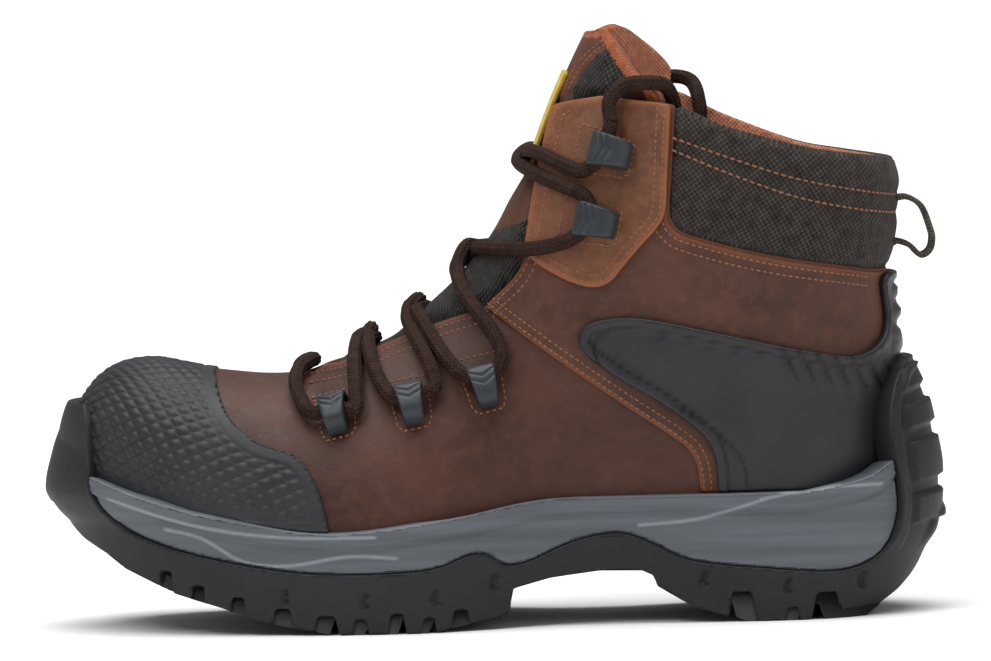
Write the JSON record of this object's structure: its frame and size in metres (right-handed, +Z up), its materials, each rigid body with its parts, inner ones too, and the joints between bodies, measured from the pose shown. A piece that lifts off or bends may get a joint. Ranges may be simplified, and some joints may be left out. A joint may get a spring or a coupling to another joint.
{
  "type": "safety boot",
  "caption": "Ankle-high laced safety boot for the left foot, with a toe cap, heel counter, padded collar and a lugged two-part sole.",
  "frame": {"origin": "on the floor, midway along the sole and midway across it", "axes": "+X from the heel to the toe, +Y to the outer (lateral) side of the left foot, +Z up"},
  "size_m": [0.3119, 0.1173, 0.2057],
  "materials": {
    "outsole_rubber": "matte, fine grain",
    "midsole_foam": "matte foam",
    "leather": "oiled nubuck, slightly worn",
    "textile_black": "woven",
    "cap_rubber": "matte with raised scales",
    "counter_plastic": "satin",
    "cuff_textile": "woven",
    "tab_textile": "woven",
    "lace_cord": "braided",
    "fitting_plastic": "satin"
  },
  "bodies": {
    "root": {"outsole": "outsole_rubber", "midsole": "midsole_foam", "upper": "leather", "insole": "textile_black", "tongue": "leather", "toe_cap": "cap_rubber", "heel_counter": "counter_plastic", "collar_cuff": "cuff_textile", "hook_facing_lateral": "leather", "hook_facing_medial": "leather", "tongue_tab": "tab_textile", "pull_loop": "cuff_textile", "lace": "lace_cord", "lace_loop_lateral_1": "fitting_plastic", "lace_loop_lateral_2": "fitting_plastic", "lace_loop_lateral_3": "fitting_plastic", "speed_hook_lateral_1": "fitting_plastic", "speed_hook_lateral_2": "fitting_plastic", "lace_end_lateral": "lace_cord", "lace_loop_medial_1": "fitting_plastic", "lace_loop_medial_2": "fitting_plastic", "lace_loop_medial_3": "fitting_plastic", "speed_hook_medial_1": "fitting_plastic", "speed_hook_medial_2": "fitting_plastic", "lace_end_medial": "lace_cord"}
  },
  "joints": []
}
